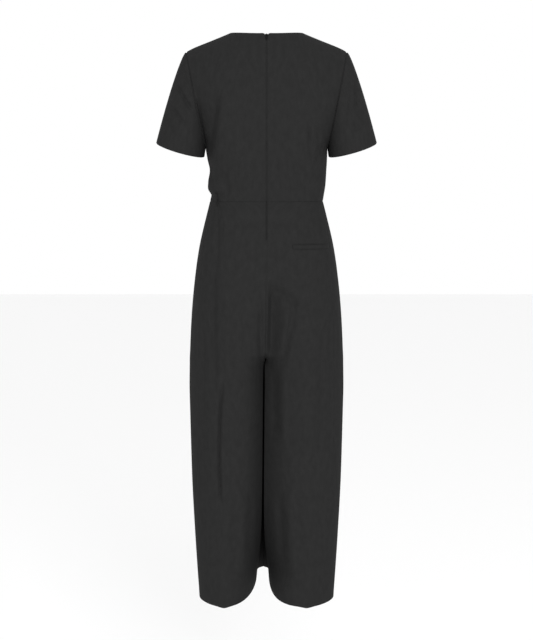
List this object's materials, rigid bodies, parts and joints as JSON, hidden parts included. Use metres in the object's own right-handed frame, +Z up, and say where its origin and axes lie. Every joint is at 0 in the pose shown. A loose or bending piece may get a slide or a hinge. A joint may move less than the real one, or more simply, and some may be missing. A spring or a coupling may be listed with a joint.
{
  "type": "jumpsuit",
  "caption": "Short-sleeved, wide-legged jumpsuit with a waist seam, back zip and welt pocket, hollow as if worn.",
  "frame": {"origin": "midway between the two side neck points, where the shoulders that hold the garment lie", "axes": "+Z up, +X to the wearer's left, +Y towards the wearer's back"},
  "size_m": [0.522, 0.2414, 1.354],
  "materials": {
    "crepe_cloth": "matt",
    "zip_tape": "matt",
    "enamelled_zip": "satin"
  },
  "bodies": {
    "garment": {"back_bodice_left": "crepe_cloth", "back_bodice_right": "crepe_cloth", "front_bodice": "crepe_cloth", "sleeve_left": "crepe_cloth", "sleeve_right": "crepe_cloth", "trouser_back_left": "crepe_cloth", "trouser_back_right": "crepe_cloth", "trouser_front_left": "crepe_cloth", "trouser_front_right": "crepe_cloth", "pocket_welt": "crepe_cloth", "zip_tape": "zip_tape", "zip_slider": "enamelled_zip"},
    "zip_pull": {"zip_pull_tab": "enamelled_zip"}
  },
  "joints": [
    {"name": "pull_tab_hinge", "type": "hinge", "parent": "garment", "child": "zip_pull", "pos_m": [0, 0.06731, -0.01051], "axis": [1, 0, 0], "range_deg": [0, 150]}
  ]
}
